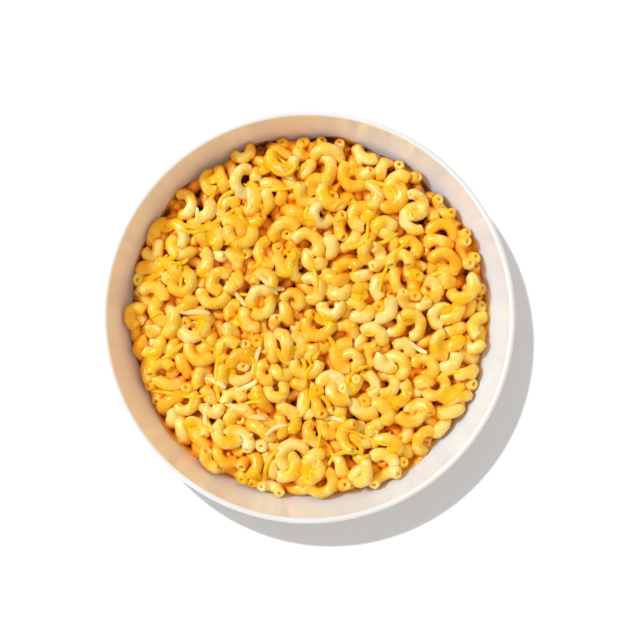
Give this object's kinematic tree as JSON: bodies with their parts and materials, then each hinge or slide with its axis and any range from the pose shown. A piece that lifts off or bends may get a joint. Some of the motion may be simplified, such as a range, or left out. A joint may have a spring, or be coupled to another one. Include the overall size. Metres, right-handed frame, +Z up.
{
  "type": "mac and cheese",
  "caption": "Elbow macaroni in melted cheese sauce, heaped in a low round white bowl on a foot ring, ready to serve and eat from.",
  "frame": {"origin": "centre of the foot ring, on the surface that the bowl stands on", "axes": "+Z up along the bowl's axis, out of its mouth; the bowl is round, so X and Y have no front"},
  "size_m": [0.22, 0.22, 0.06],
  "materials": {
    "porcelain": "smooth white gloss glaze",
    "macaroni": "soft pasta with a glossy coat of cheese sauce"
  },
  "bodies": {
    "root": {"bowl": "porcelain", "macaroni_heap": "macaroni"}
  },
  "joints": []
}
